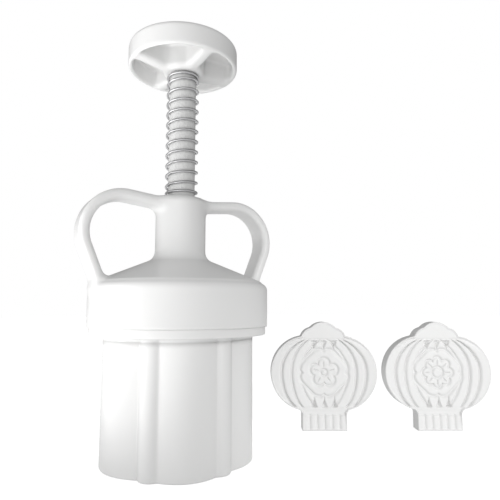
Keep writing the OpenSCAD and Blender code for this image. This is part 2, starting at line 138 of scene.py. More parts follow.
class Paint:
    """A new material with an empty node tree."""

    def __init__(self, name):
        self.material = bpy.data.materials.new(name)
        self.material.use_nodes = True
        self.tree = self.material.node_tree
        self.tree.nodes.clear()

    def plug(self, socket, value):
        if isinstance(value, Wire):
            self.tree.links.new(value.socket, socket)
        else:
            socket.default_value = value

    def node(self, kind, settings=None, inputs=None, output=0):
        """Adds a node, sets its settings, feeds its sockets and gives one output."""
        new = self.tree.nodes.new(kind)
        for key, value in (settings or {}).items():
            setattr(new, key, value)
        for key, value in (inputs or {}).items():
            self.plug(new.inputs[key], value)
        return Wire(self, new.outputs[output])

    def noise(self, size_mm, detail=2.0, rough=0.5, stretch=(1, 1, 1)):
        """Cloudy noise from 0 to 1, with blobs of about size_mm, in object coordinates."""
        where = self.node("ShaderNodeTexCoord", output="Object")
        where = self.node("ShaderNodeMapping", inputs={"Vector": where, "Scale": stretch})
        return self.node("ShaderNodeTexNoise", inputs={
            "Vector": where, "Scale": 1 / (size_mm * MM), "Detail": detail, "Roughness": rough})

    def blend(self, factor, a, b):
        """A colour between a and b."""
        return self.node("ShaderNodeMix", {"data_type": "RGBA"}, {0: factor, 6: a, 7: b}, output=2)

    def bump(self, height, depth_mm, strength=1.0):
        return self.node("ShaderNodeBump", inputs={
            "Height": height, "Distance": depth_mm * MM, "Strength": strength})

    def finish(self, shader):
        out = self.tree.nodes.new("ShaderNodeOutputMaterial")
        self.tree.links.new(shader.socket, out.inputs["Surface"])
        return self.material


# %% [markdown]
# ## White plastic and steel
# The plastic is a semi-gloss white with a very fine moulding grain, faint clouds where the melt cooled
# unevenly, and duller patches where hands rub it. A white thing on a white ground loses its outline, so
# shade is painted into its colour where it is seen edge-on: Layer Weight gives that painted edge shade,
# and its cube keeps it to the last few degrees. The rod's colour is a darker grey, painted shade that
# stands for the spring's shadow on it. The steel is bright drawn wire and plated screws.

# %% Plastic
# How dark the painted edge shade gets, as a share of the shade tone.
EDGE_SHADE_TONE = 0.7


def moulded_plastic(name, light, shade, gloss, grain_mm=0.35):
    """Semi-gloss plastic between two near whites, gloss being its roughness."""
    paint = Paint(name)
    clouds = paint.noise(18, 3, 0.55)
    rubbed = paint.noise(6, 4, 0.6)
    grain = paint.noise(grain_mm, 2, 0.5)
    # Painted shade: Layer Weight darkens the colour where the surface is seen edge-on, standing for shade at
    # the outline.
    painted_edge_shade = paint.node("ShaderNodeLayerWeight", inputs={"Blend": 0.5}, output="Facing")
    colour = paint.blend(clouds, (*light, 1), (*shade, 1))
    edge_shade_colour = (*(EDGE_SHADE_TONE * part for part in shade), 1)
    colour = paint.blend(painted_edge_shade * painted_edge_shade * painted_edge_shade, colour, edge_shade_colour)
    roughness = gloss - 0.05 + rubbed * 0.10 + grain * 0.02
    shader = paint.node("ShaderNodeBsdfPrincipled", inputs={
        "Base Color": colour, "Roughness": roughness,
        "Normal": paint.bump(grain * 0.6 + rubbed * 0.4, 0.012)})
    shader.socket.node.inputs["IOR"].default_value = 1.49
    return paint.finish(shader)


def drawn_steel(name, tone, gloss):
    """Bright steel with fine drawing marks."""
    paint = Paint(name)
    marks = paint.noise(0.25, 3, 0.6, stretch=(1, 1, 4))
    smudge = paint.noise(5, 2, 0.5)
    colour = paint.blend(smudge, (tone, tone, tone * 1.02, 1), (tone * 0.86, tone * 0.86, tone * 0.87, 1))
    shader = paint.node("ShaderNodeBsdfPrincipled", inputs={
        "Base Color": colour, "Metallic": 1.0, "Roughness": gloss + marks * 0.08 + smudge * 0.06,
        "Normal": paint.bump(marks, 0.004)})
    return paint.finish(shader)


WHITE = moulded_plastic("white_plastic", (0.87, 0.87, 0.865), (0.85, 0.85, 0.845), 0.34)
WHITE_MATT = moulded_plastic("white_stamp_plastic", (0.86, 0.86, 0.855), (0.84, 0.84, 0.835), 0.42, 0.25)
WHITE_INNER = moulded_plastic("white_inner_plastic", (0.83, 0.83, 0.825), (0.81, 0.81, 0.80), 0.45)
STEEL = drawn_steel("spring_steel", 0.50, 0.24)
# Painted shade: the rod's colour is darkened grey to stand for the shadow that the spring casts round it.
ROD_PAINTED_SHADE = moulded_plastic("rod_plastic_painted_shade", (0.76, 0.76, 0.755), (0.73, 0.73, 0.725), 0.4)
SCREW_STEEL = drawn_steel("screw_steel", 0.66, 0.30)
print("finishes:", [material.name for material in bpy.data.materials])

# %% [markdown]
# ## From points to a piece
# A piece is a cloud of points and a list of four-sided faces, worked out as whole arrays and handed to
# Blender in one go. It rides on the body that its CAD node belongs to, and takes that node's place.

# %% Mesh helper
def make_piece(name, points, quads, material, triangles=()):
    """A smooth-shaded mesh piece that stands for the CAD node with the same name."""
    quads = np.asarray(quads, np.int32).reshape(-1, 4)
    triangles = np.asarray(triangles, np.int32).reshape(-1, 3)
    corners = np.concatenate([quads.ravel(), triangles.ravel()])
    starts = np.concatenate([np.arange(len(quads)) * 4, 4 * len(quads) + np.arange(len(triangles)) * 3])
    mesh = bpy.data.meshes.new(name + "_look")
    mesh.vertices.add(len(points))
    mesh.vertices.foreach_set("co", (np.asarray(points) * MM).astype(np.float32).ravel())
    mesh.loops.add(len(corners))
    mesh.loops.foreach_set("vertex_index", corners)
    mesh.polygons.add(len(starts))
    mesh.polygons.foreach_set("loop_start", starts.astype(np.int32))
    mesh.polygons.foreach_set("use_smooth", np.ones(len(starts), bool))
    mesh.update(calc_edges=True)
    mesh.validate()
    mesh.materials.append(material)
    piece = bpy.data.objects.new(name + "_look", mesh)
    bpy.context.scene.collection.objects.link(piece)
    body = frame["nodes"][name]["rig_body"]
    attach(piece, body)
    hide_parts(name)
    print(f"{name}: {len(points)} points, {len(starts)} faces, rides on {body}")
    return piece


# %% [markdown]
# ## Turned pieces
# The rod, the washers and the bush are round: a profile of radius and height, with small
# rounded corners, is turned about the axis.

# %% Turning
def rounded(corners, radius, steps=5):
    """A closed outline with an arc for each corner. The arc's centre lies on the corner's bisector."""
    corners = np.asarray(corners, float)
    before, after = np.roll(corners, 1, 0) - corners, np.roll(corners, -1, 0) - corners
    before /= np.linalg.norm(before, axis=1, keepdims=True)
    after /= np.linalg.norm(after, axis=1, keepdims=True)
    half = np.arccos(np.clip((before * after).sum(1), -1, 1)) / 2
    radius = np.broadcast_to(radius, len(corners))
    bisector = (before + after) / np.linalg.norm(before + after, axis=1, keepdims=True)
    centre = corners + bisector * (radius / np.sin(half))[:, None]
    start = corners + before * (radius / np.tan(half))[:, None] - centre
    end = corners + after * (radius / np.tan(half))[:, None] - centre
    share = np.linspace(0, 1, steps)[None, :, None]
    swing = (np.pi - 2 * half)[:, None, None]
    arc = np.sin((1 - share) * swing) * start[:, None] + np.sin(share * swing) * end[:, None]
    arc = arc / np.sin(swing)
    return (centre[:, None] + arc).reshape(-1, 2)


def ring_faces(rows, columns):
    """Faces of a grid that closes on itself both ways."""
    row, column = np.meshgrid(np.arange(rows), np.arange(columns), indexing="ij")
    below, beside = (row + 1) % rows, (column + 1) % columns
    return np.stack([row * columns + column, row * columns + beside,
                     below * columns + beside, below * columns + column], -1).reshape(-1, 4)


def turned(profile, steps=128):
    """Points of a profile (radius, height) carried round the axis, and their faces."""
    angle = np.arange(steps) * 2 * np.pi / steps
    radius, height = profile[:, 0, None], profile[:, 1, None]
    points = np.stack(np.broadcast_arrays(radius * np.cos(angle), radius * np.sin(angle), height), -1)
    return points.reshape(-1, 3), ring_faces(len(profile), steps)


def turned_piece(name, corners, radius, material):
    """A turned piece with a hole through it. The corners run anticlockwise, radius to the right."""
    points, quads = turned(rounded(corners, radius))
    return make_piece(name, points, quads, material)


# %% [markdown]
# ## Moulded pieces
# The handle, the knob and the stamps have no single profile: bars melt into a neck, and pockets have
# rounded floors. Each is written as a field, a function that is negative inside the plastic and zero on
# its skin, so a fillet is just a smooth minimum of two fields. The skin is then found on a grid: every
# cell that it crosses gets one point, neighbouring cells share faces, and the points slide along the
# field's slope until they lie on the skin exactly.

# %% Fields
def join(a, b, soften):
    """Either of two fields, with a fillet of about soften where they meet."""
    share = np.clip(0.5 + 0.5 * (b - a) / soften, 0, 1)
    return b * (1 - share) + a * share - soften * share * (1 - share)


def both(a, b, soften):
    """Where two fields overlap, with the edge rounded by about soften."""
    return -join(-a, -b, soften)


def slab(value, low, high):
    """Field of the room between two levels of a value."""
    return np.maximum(low - value, value - high)


def skin(field, low, high, cell, slides=4):
    """Points and faces of the field's zero level inside a box, on a grid of that cell."""
    axes = [np.arange(a - 1.5 * cell, b + 2.5 * cell, cell) for a, b in zip(low, high)]
    x, y, z = np.meshgrid(*axes, indexing="ij", sparse=True)
    value = np.array(np.broadcast_to(field(x, y, z), [len(a) for a in axes]), np.float32)
    inside = value < 0
    corners = np.array([(i, j, k) for i in (0, 1) for j in (0, 1) for k in (0, 1)])
    nx, ny, nz = (n - 1 for n in value.shape)
    count = sum(inside[i:i + nx, j:j + ny, k:k + nz].astype(np.int8) for i, j, k in corners)
    crossed = (count > 0) & (count < 8)
    cells = np.argwhere(crossed)
    number = np.full(crossed.shape, -1, np.int32)
    number[crossed] = np.arange(len(cells))

    total, hits = np.zeros((len(cells), 3)), np.zeros((len(cells), 1))
    for corner in corners:
        for axis in np.flatnonzero(corner == 0):
            step = np.eye(3, dtype=int)[axis]
            a = value[tuple((cells + corner).T)][:, None]
            b = value[tuple((cells + corner + step).T)][:, None]
            hit = (a < 0) != (b < 0)
            share = np.where(hit, a / np.where(hit, a - b, 1), 0)
            total += hit * (corner + share * step)
            hits += hit
    points = np.array([a[0] for a in axes]) + (cells + total / hits) * cell

    quads = []
    for axis in range(3):
        u, v = (axis + 1) % 3, (axis + 2) % 3
        here = np.moveaxis(inside, (axis, u, v), (0, 1, 2))
        cell_number = np.moveaxis(number, (axis, u, v), (0, 1, 2))
        change = here[:-1, 1:-1, 1:-1] != here[1:, 1:-1, 1:-1]
        i, j, k = np.nonzero(change)
        j, k = j + 1, k + 1
        quad = np.stack([cell_number[i, j - 1, k - 1], cell_number[i, j, k - 1],
                         cell_number[i, j, k], cell_number[i, j - 1, k]], -1)
        outward = here[i, j, k]
        quads.append(np.where(outward[:, None], quad, quad[:, ::-1]))

    reach = 0.02 * cell
    for _ in range(slides):
        here = field(*points.T)
        slope = np.stack([(field(*(points + reach * e).T) - field(*(points - reach * e).T)) / (2 * reach)
                          for e in np.eye(3)], -1)
        move = -here[:, None] * slope / np.maximum((slope ** 2).sum(1), 0.05)[:, None]
        far = np.linalg.norm(move, axis=1, keepdims=True)
        points = points + move * np.minimum(1, 0.5 * cell / np.maximum(far, 1e-9))
    return points, np.concatenate(quads)


# %% [markdown]
# ## The lantern's outline
# Barrel, piston and stamps share one outline: two big arcs for the lantern's sides, two shoulders and a
# dome for its crown, a straight foot, and a base ring that flares above the foot.

# %% Lantern outline
SIDE_R, SIDE_X, SIDE_Y = 20.0, 9.0, 1.5
CROWN_TOP, CROWN_R = 29.0, 9.2
SHOULDER_R, SHOULDER_X, SHOULDER_Y = 6.8, 5.7, 19.2
FOOT_HALF, FOOT_DROP = 12.1, 29.0
FLARE_HALF, FLARE_DROP, FLARE_H = 14.3, 16.3, 3.7
BARREL_TURN = -15.0


def disc(x, y, cx, cy, radius):
    return np.hypot(x - cx, y - cy) - radius


def brick(x, y, half_x, half_y):
    """Field of a rectangle about the origin: the distance outside it, negative depth inside."""
    qx, qy = np.abs(x) - half_x, np.abs(y) - half_y
    return np.hypot(np.maximum(qx, 0), np.maximum(qy, 0)) + np.minimum(np.maximum(qx, qy), 0)


def lantern(x, y, soften=0.5):
    """Field of the stamp's outline, crown up."""
    side = np.abs(x)
    body = disc(side, y, SIDE_X, SIDE_Y, SIDE_R)
    body = np.minimum(body, brick(x, y - SIDE_Y, SIDE_X, SIDE_R))
    crown = join(disc(side, y, SHOULDER_X, SHOULDER_Y, SHOULDER_R),
                 disc(x, y, 0, CROWN_TOP - CROWN_R, CROWN_R), soften)
    foot = brick(x, y + FOOT_DROP / 2, FOOT_HALF, FOOT_DROP / 2)
    lean = np.array([FLARE_H, FOOT_HALF - FLARE_HALF]) / np.hypot(FLARE_H, FLARE_HALF - FOOT_HALF)
    flare = (side - FLARE_HALF) * lean[0] + (y + FLARE_DROP) * lean[1]
    flare = np.maximum(flare, slab(y, -FLARE_DROP - FLARE_H, -FLARE_DROP))
    return join(join(body, crown, soften), np.minimum(foot, flare), soften)


print("lantern, mm wide and high:", 2 * (SIDE_X + SIDE_R), CROWN_TOP + FOOT_DROP)

# %% [markdown]
# ## Barrel
# The barrel is one wall carried round: its inside is the lantern with a small clearance, its outside a
# fuller lantern, and above them the wall turns into a round flange and a spigot that goes up into the
# handle. So its skin is a grid of rows (mouth, outside, flange, spigot, inside) by directions.

# %% Barrel sizes
CLEARANCE, WALL = 0.4, 3.4
WALL_CROWN_R, WALL_CHEEK_R, WALL_CHEEK_Y = 18.0, 20.0, 3.5
LOBE_R, LOBE_X, LOBE_Y = 5.4, 13.2, 23.4
housing_low, housing_high = span("handle_housing")
SEAM_GAP, SLIDE_GAP, FLANGE_T, SPIGOT_H = 0.05, 0.3, 3.5, 15.4
COLLAR_R = housing_high[1]
COLLAR_Z = housing_low[2]
FLANGE_TOP = COLLAR_Z - SEAM_GAP
FLANGE_R = COLLAR_R - 0.9
SPIGOT_R = np.hypot(FOOT_HALF + CLEARANCE, FOOT_DROP + CLEARANCE) + 3.2
LUG_OUT, LUG_H, LUG_ANGLE, LEDGE_H = 1.9, 3.6, 24.0, 2.6
LUG_Z = COLLAR_Z + LEDGE_H + SLIDE_GAP
EDGE_SOFT, FLANGE_FILLET = 0.6, 1.8
print("flange, mm: radius", round(FLANGE_R, 2), "top", round(FLANGE_TOP, 2))


def wall_outline(x, y, grow):
    """Field of the barrel's outer face, moved in or out by grow."""
    out = CLEARANCE + WALL
    side = np.abs(x)
    field = lantern(x, y) - out
    dome = disc(x, y, 0, CROWN_TOP + out - WALL_CROWN_R, WALL_CROWN_R)
    lobe = disc(side, y, LOBE_X, LOBE_Y, LOBE_R)
    cheek = disc(side, y, SIDE_X + SIDE_R + out - WALL_CHEEK_R, WALL_CHEEK_Y, WALL_CHEEK_R)
    front = join(join(dome, lobe, EDGE_SOFT), cheek, EDGE_SOFT)
    return join(field, front, EDGE_SOFT) - grow


def reach_of(field, angle, far=60.0):
    """Distance from the middle to the outline in each direction, found by halving."""
    near, far = np.zeros_like(angle), np.full_like(angle, far)
    for _ in range(40):
        middle = (near + far) / 2
        outside = field(middle * np.cos(angle), middle * np.sin(angle)) > 0
        near, far = np.where(outside, near, middle), np.where(outside, middle, far)
    return near


# %% Barrel
def build_barrel(columns=960):
    """Rows of reach and height, carried round every direction."""
    angle = np.arange(columns) * 2 * np.pi / columns
    turn = angle - np.radians(180 + BARREL_TURN)
    lug_span = np.abs((np.degrees(angle) - 90 + 60) % 120 - 60) - LUG_ANGLE / 2
    lug = np.clip(0.5 - lug_span / 0.8, 0, 1)

    def outside(grow):
        return reach_of(lambda x, y: wall_outline(x, y, grow), turn)

    def inside(grow):
        return reach_of(lambda x, y: lantern(x, y) - CLEARANCE - grow, turn)

    def around(radius):
        return np.full(columns, float(radius))

    rows = []
    bend = np.radians([0, 22.5, 45, 67.5, 90])
    edge = 0.7
    rows += [(outside(-edge * (1 - np.sin(b))), edge * (1 - np.cos(b))) for b in bend]
    under = FLANGE_TOP - FLANGE_T
    rows += [(outside(0), z) for z in np.linspace(2, under - FLANGE_FILLET, 24)]
    rows += [(outside(FLANGE_FILLET * (1 - np.cos(b))), under - FLANGE_FILLET * (1 - np.sin(b)))
             for b in bend]
    flange_out = around(FLANGE_R)
    flange_in = np.minimum(outside(FLANGE_FILLET + 0.2), flange_out - 0.6)
    rows += [(flange_in + (flange_out - 0.5 - flange_in) * s, under) for s in (0.02, 0.5, 1)]
    rows += [(flange_out - 0.5 * (1 - np.sin(b)), under + 0.5 * (1 - np.cos(b))) for b in bend[1:]]
    rows += [(flange_out - 0.1 * (1 - np.cos(b)), FLANGE_TOP - 0.1 * (1 - np.sin(b))) for b in bend]
    rows += [(around(SPIGOT_R + 0.3), FLANGE_TOP), (around(SPIGOT_R), FLANGE_TOP + 0.3)]
    low, high = LUG_Z - 0.05, LUG_Z + LUG_H + 0.05
    rows += [(around(SPIGOT_R), low - 0.2), (around(SPIGOT_R), low), (SPIGOT_R + LUG_OUT * lug, low + 0.1)]
    rows += [(SPIGOT_R + LUG_OUT * lug, high - 0.1), (around(SPIGOT_R), high), (around(SPIGOT_R), high + 0.2)]
    top = FLANGE_TOP + SPIGOT_H
    rows += [(around(SPIGOT_R) - 0.6 * (1 - np.cos(b)), top - 0.6 * (1 - np.sin(b))) for b in bend]
    rows += [(inside(0.6 * (1 - np.sin(b))), top - 0.6 * (1 - np.cos(b))) for b in bend]
    rows += [(inside(0), z) for z in np.linspace(top - 2, 2, 24)]
    rows += [(inside(0.5 * (1 - np.cos(b))), 0.5 * (1 - np.sin(b))) for b in bend]
    reach = np.array([r for r, _ in rows])
    height = np.array([np.full(columns, z) for _, z in rows])
    points = np.stack([reach * np.cos(angle), reach * np.sin(angle), height], -1).reshape(-1, 3)
    return make_piece("barrel", points, ring_faces(len(rows), columns), WHITE)


build_barrel()

# %% [markdown]
# ## Handle
# Collar, roof and neck are turned forms, and the loops are a rounded bar bent in one plane. On the real
# press they are one moulding with generous fillets, so the fields are joined softly, by about 4 mm where
# the bars leave the neck and where they stand on the collar.

# %% Handle sizes
COLLAR_TOP = COLLAR_Z + 19.1
COLLAR_ROUND = 3.2
COLLAR_IN_R = SPIGOT_R + LUG_OUT + 1.5 * SLIDE_GAP
ROOF_SLOPE = np.radians(22.5)
ROOF_EDGE_R, ROOF_EDGE_Z, ROOF_T = COLLAR_R - 2.5, COLLAR_TOP + 0.55, 2.6
NECK_R, NECK_TOP, SEAT_R = 11.5, housing_high[2], 8.0
FINGER_R, BAR_W, BAR_D, BAR_ROUND = 14.6, 4.5, 12.0, 2.0
LOOP_R = FINGER_R + BAR_W / 2
LOOP_SLOPE, LOOP_LEAN = np.radians(6), np.radians(22)
LOOP_X = housing_high[0] - BAR_W - FINGER_R
BAR_DROP, LEG_SINK = 3.8, 2.4
LOOP_Z = (NECK_TOP - BAR_DROP + (LOOP_X - LOOP_R * np.sin(LOOP_SLOPE) - NECK_R) * np.tan(LOOP_SLOPE)
          - LOOP_R * np.cos(LOOP_SLOPE))
GUIDE_R, HOLLOW_R, GUIDE_H = 6.27, 8.9, 11.0
BUSH_SEAT_Z = COLLAR_TOP + 3.25
CEILING_Z, CEILING_R = COLLAR_TOP - ROOF_T, COLLAR_IN_R - 3
SHOULDER_OUT, SHOULDER_UP = 0.596, 0.803
NECK_FILLET, LOOP_FILLET = 3.5, 4.0
CATCH_Z = COLLAR_Z + 0.4
print("handle, mm: collar", round(2 * COLLAR_R, 1), "finger holes", 2 * FINGER_R, "top", round(NECK_TOP, 1))


def roof_height(radius):
    return ROOF_EDGE_Z + (ROOF_EDGE_R - radius) * np.tan(ROOF_SLOPE)


def to_line(x, z, start, end):
    """Distance to a straight stretch between two points."""
    start, along = np.array(start), np.array(end) - np.array(start)
    share = np.clip(((x - start[0]) * along[0] + (z - start[1]) * along[1]) / (along @ along), 0, 1)
    return np.hypot(x - start[0] - share * along[0], z - start[1] - share * along[1])


def loop_bar(x, y, z):
    """Field of both finger loops: distance to a bent centre line, then a rounded section about it."""
    side = np.abs(x)
    top = LOOP_X - LOOP_R * np.sin(LOOP_SLOPE), LOOP_Z + LOOP_R * np.cos(LOOP_SLOPE)
    low = LOOP_X + LOOP_R * np.cos(LOOP_LEAN), LOOP_Z - LOOP_R * np.sin(LOOP_LEAN)
    root = NECK_R - 3, top[1] - (top[0] - NECK_R + 3) * np.tan(LOOP_SLOPE)
    drop = low[1] - COLLAR_TOP + LEG_SINK
    foot = low[0] - drop * np.tan(LOOP_LEAN), low[1] - drop
    angle = np.arctan2(z - LOOP_Z, side - LOOP_X)
    on_bend = (angle > -LOOP_LEAN) & (angle < np.pi / 2 + LOOP_SLOPE)
    bend = np.where(on_bend, np.abs(np.hypot(side - LOOP_X, z - LOOP_Z) - LOOP_R), 99)
    straight = np.minimum(to_line(side, z, top, root), to_line(side, z, low, foot))
    return brick(np.minimum(bend, straight), y, BAR_W / 2 - BAR_ROUND, BAR_D / 2 - BAR_ROUND) - BAR_ROUND


def handle(x, y, z):
    """Field of the handle: turned outside and loops, less the room inside, plus the bayonet's ledges."""
    radius = np.hypot(x, y)
    collar = brick(radius, z - COLLAR_TOP + 30, COLLAR_R - COLLAR_ROUND, 30 - COLLAR_ROUND) - COLLAR_ROUND
    collar = both(collar, COLLAR_Z - z, 0.1)
    roof = both((z - roof_height(radius)) * np.cos(ROOF_SLOPE), radius - ROOF_EDGE_R, 0.8)
    roof = np.maximum(roof, COLLAR_Z + 5 - z)
    shoulder = (radius - SEAT_R) * SHOULDER_OUT + (z - NECK_TOP) * SHOULDER_UP
    neck = both(both(radius - NECK_R, z - NECK_TOP, 0.6), shoulder, 1.2)
    neck = np.maximum(neck, COLLAR_Z + 5 - z)
    outside = join(join(collar, roof, 0.8), neck, NECK_FILLET)
    outside = join(outside, loop_bar(x, y, z), LOOP_FILLET)
    outside = np.maximum(outside, z - NECK_TOP)

    room = np.maximum(radius - COLLAR_IN_R, z - CEILING_Z)
    inner_roof = (z - roof_height(radius) + ROOF_T / np.cos(ROOF_SLOPE)) * np.cos(ROOF_SLOPE)
    attic = np.maximum(np.maximum(inner_roof, radius - CEILING_R), z - BUSH_SEAT_Z)
    well = np.maximum(radius - HOLLOW_R, z - NECK_TOP + GUIDE_H)
    hollow = np.minimum(np.minimum(room, attic), np.minimum(well, radius - GUIDE_R))
    shell = both(outside, -hollow, 0.3)

    turn = (np.degrees(np.arctan2(y, x)) - 90 + 60) % 120 - 60
    ledge = np.maximum((np.abs(turn) - LUG_ANGLE / 2) * 0.6, slab(z, CATCH_Z, COLLAR_Z + LEDGE_H))
    stop = np.maximum((np.abs(turn - LUG_ANGLE / 2 - 2.5) - 1.5) * 0.6,
                      slab(z, CATCH_Z, LUG_Z + LUG_H))
    catches = np.maximum(np.minimum(ledge, stop), slab(radius, SPIGOT_R + SLIDE_GAP, COLLAR_IN_R + 1))
    return join(shell, catches, 0.3)


# %% Handle
points, quads = skin(handle, (-48, -41, COLLAR_Z), (48, 41, NECK_TOP), 0.6)
make_piece("handle_housing", points, quads, WHITE)

# %% [markdown]
# ## Plunger
# The rod is turned. The knob is a flat drum with four rounded pockets underneath that leave a cross of
# webs, so that it cools without sinking, and a boss in the middle where the spring bears.

# %% Rod, bush and washers
ROD_R, SCREW_R, SCREW_HOLE_R, WASHER_R = 6.2, 2.0, 2.4, 6.0
rod_low, rod_high = span("plunger_rod")
turned_piece("plunger_rod", [(SCREW_R, rod_low[2]), (ROD_R, rod_low[2]), (ROD_R, rod_high[2]),
                             (SCREW_R, rod_high[2])], (0.2, 0.5, 0.5, 0.2), ROD_PAINTED_SHADE)
bush_low, bush_high = span("guide_bush")
bush_out = bush_high[0]
turned_piece("guide_bush", [(GUIDE_R, bush_low[2]), (bush_out, bush_low[2]), (bush_out, BUSH_SEAT_Z),
                            (HOLLOW_R, BUSH_SEAT_Z), (HOLLOW_R, bush_high[2]), (GUIDE_R, bush_high[2])],
             0.15, WHITE_INNER)
for washer in ("piston_washer", "knob_washer"):
    low, high = span(washer)
    turned_piece(washer, [(SCREW_HOLE_R, low[2]), (WASHER_R, low[2]), (WASHER_R, high[2]),
                          (SCREW_HOLE_R, high[2])], 0.15, SCREW_STEEL)

# %% Knob sizes
knob_low, knob_high = span("knob")
KNOB_R, KNOB_TOP, BOSS_Z = knob_high[0], knob_high[2], knob_low[2]
BOSS_DROP, BOSS_R, KNOB_ROUND, KNOB_RIM = 2.2, 8.2, 2.6, 2.4
KNOB_Z = BOSS_Z + BOSS_DROP
POCKET_IN_R, SPOKE_W, SPOKE_TURN, KNOB_TOP_T = 10.0, 6.0, np.radians(5), 2.6
CAP_R, CAP_T, SCREW_ROOM_R = 11.5, 1.2, 6.6
WEB_T, WASHER_T, HEAD_H = 3.0, 1.0, 2.6
KNOB_WEB_Z = KNOB_TOP - CAP_T - 0.4 - HEAD_H - WASHER_T - WEB_T
POCKET_EDGE = 2.6
print("knob, mm: across", round(2 * KNOB_R, 1), "thick", round(KNOB_TOP - KNOB_Z, 1))


def knob(x, y, z):
    """Field of the knob: a rounded drum over a shallow cone, less its pockets and its bores."""
    radius = np.hypot(x, y)
    drum = brick(radius, z - KNOB_TOP + 20, KNOB_R - KNOB_ROUND, 20 - KNOB_ROUND) - KNOB_ROUND
    slope = BOSS_DROP / (KNOB_R - KNOB_RIM - BOSS_R)
    under = KNOB_Z - BOSS_DROP + (radius - BOSS_R) * slope
    under = np.where(radius < BOSS_R, BOSS_Z, np.minimum(under, KNOB_Z))
    body = both(drum, (under - z) * 0.98, 1.8)
    along, across = np.cos(SPOKE_TURN), np.sin(SPOKE_TURN)
    u, v = np.abs(x * along + y * across), np.abs(y * along - x * across)
    plan = both(both(radius - KNOB_R + KNOB_RIM, POCKET_IN_R - radius, 1.5),
                both(SPOKE_W / 2 - u, SPOKE_W / 2 - v, 2.5), 3.0)
    pocket = both(plan, z - KNOB_TOP + KNOB_TOP_T, 1.5)
    body = both(body, -pocket, POCKET_EDGE)
    bore = np.maximum(radius - ROD_R, z - KNOB_WEB_Z)
    bore = np.minimum(bore, radius - SCREW_HOLE_R)
    bore = np.minimum(bore, np.maximum(radius - SCREW_ROOM_R, KNOB_WEB_Z + WEB_T - z))
    bore = np.minimum(bore, np.maximum(radius - CAP_R, KNOB_TOP - CAP_T - z))
    return np.maximum(body, -bore)


# %% Knob
points, quads = skin(knob, (-KNOB_R, -KNOB_R, BOSS_Z), (KNOB_R, KNOB_R, KNOB_TOP), 0.4)
make_piece("knob", points, quads, WHITE)

# %% [markdown]
# ## Spring
# A round wire along a helix that lies down flat for its first and last turn. It stands between the
# neck and the knob at one length; on the real press it squashes as the plunger goes down.

# %% Spring
WIRE_D, COIL_R, COIL_TURNS, END_RISE = 1.1, 7.1, 13, 1.75
spring_low, spring_high = span("return_spring")


def build_spring(rings=40, sides=12):
    """Wire rings along the helix, each ring square to the wire, with rounded tips."""
    low, high = spring_low[2] + WIRE_D / 2, spring_high[2] - WIRE_D / 2
    turn = np.linspace(0, COIL_TURNS, COIL_TURNS * rings + 1)
    height = np.interp(turn, [0, 1, COIL_TURNS - 1, COIL_TURNS], [low, low + END_RISE, high - END_RISE, high])
    kernel = np.hanning(11) / np.hanning(11).sum()
    height = np.convolve(np.pad(height, 5, mode="reflect", reflect_type="odd"), kernel, "valid")
    angle = 2 * np.pi * turn
    centre = np.stack([COIL_R * np.cos(angle), COIL_R * np.sin(angle), height], -1)
    ahead = np.gradient(centre, axis=0)
    ahead /= np.linalg.norm(ahead, axis=1, keepdims=True)
    out = np.stack([np.cos(angle), np.sin(angle), 0 * angle], -1)
    up = np.cross(ahead, out)
    tip = np.array([0.0, 0.45, 0.8, 1.0])
    size = np.concatenate([tip, np.ones(len(turn) - 8), tip[::-1]]) * WIRE_D / 2
    swing = np.arange(sides) * 2 * np.pi / sides
    ring = (centre[:, None] + size[:, None, None]
            * (np.cos(swing)[None, :, None] * out[:, None] + np.sin(swing)[None, :, None] * up[:, None]))
    row, column = np.meshgrid(np.arange(len(turn) - 1), np.arange(sides), indexing="ij")
    beside = (column + 1) % sides
    quads = np.stack([row * sides + column, (row + 1) * sides + column,
                      (row + 1) * sides + beside, row * sides + beside], -1).reshape(-1, 4)
    return ring.reshape(-1, 3), quads


points, quads = build_spring()
spring = make_piece("return_spring", points, quads, STEEL)
joint = next(j for j in frame["joints"] if j["name"] == "plunger_slide")
stroke = joint["range_m"][1] / MM
spring_length = KNOB_Z - BOSS_DROP - NECK_TOP
(spring_length - stroke) / spring_length
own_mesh(spring)

# %% [markdown]
# ## Stamps
# The face of a stamp is dished and carved: lines that fan out like a lantern's ribs, a medallion in the
# middle, pleats where the ribs meet the crown and the base ring, and a fluted foot.

# %% Stamp relief
STAMP_T, PLATE_T, SKIRT = 9.0, 4.0, 1.8
PEG_R, PEG_OUT, PEG_X = 2.5, 5.0, 14.0
RIB_TOP, RIB_LOW = 19.2, -16.8
RIBS = np.array([13.0, 17.7, 23.2, 30.0])
MEDAL_HALF, MEDAL_UP, MEDAL_CUT = 13.1, 12.6, 17.2
LINE_W, FINE_LINE_W = 1.5, 1.4
RIB_DEPTH, INNER_DEPTH, MEDAL_DEPTH, MOTIF_DEPTH, PLEAT_DEPTH, DISH_DEPTH = 1.2, 1.0, 1.1, 1.0, 1.4, 1.5
FOOT_FLUTES = 6
print("stamp, mm: ribs at", RIBS, "medallion", 2 * MEDAL_HALF, "by", 2 * MEDAL_UP)


def step_up(value, low, high):
    """0 below low, 1 above high, and smooth between."""
    share = np.clip((value - low) / (high - low), 0, 1)
    return share * share * (3 - 2 * share)


def line(distance, width):
    """A soft line of that width where the distance is zero."""
    return np.exp(-(distance / (width / 2)) ** 2)


def rib_place(x, y):
    """Which rib a point lies on, told by where its rib crosses mid height. Ribs draw in most at the crown."""
    rise = (y - SIDE_Y) / np.where(y > SIDE_Y, 20.0, 20.5)
    bulge = np.sqrt(np.clip(1 - rise ** 2, 0.02, 1))
    return np.abs(x) / np.where(y > SIDE_Y, bulge, 0.38 + 0.62 * bulge)


def inner_rib(x, y):
    """Distance to the pair of ribs that run behind the medallion, from pleat to pleat."""
    rise = (y - SIDE_Y) / np.where(y > SIDE_Y, 19.0, 23.0)
    return np.abs(x) - RIBS[0] * np.clip(1 - rise ** 2, 0, 1) ** 0.9


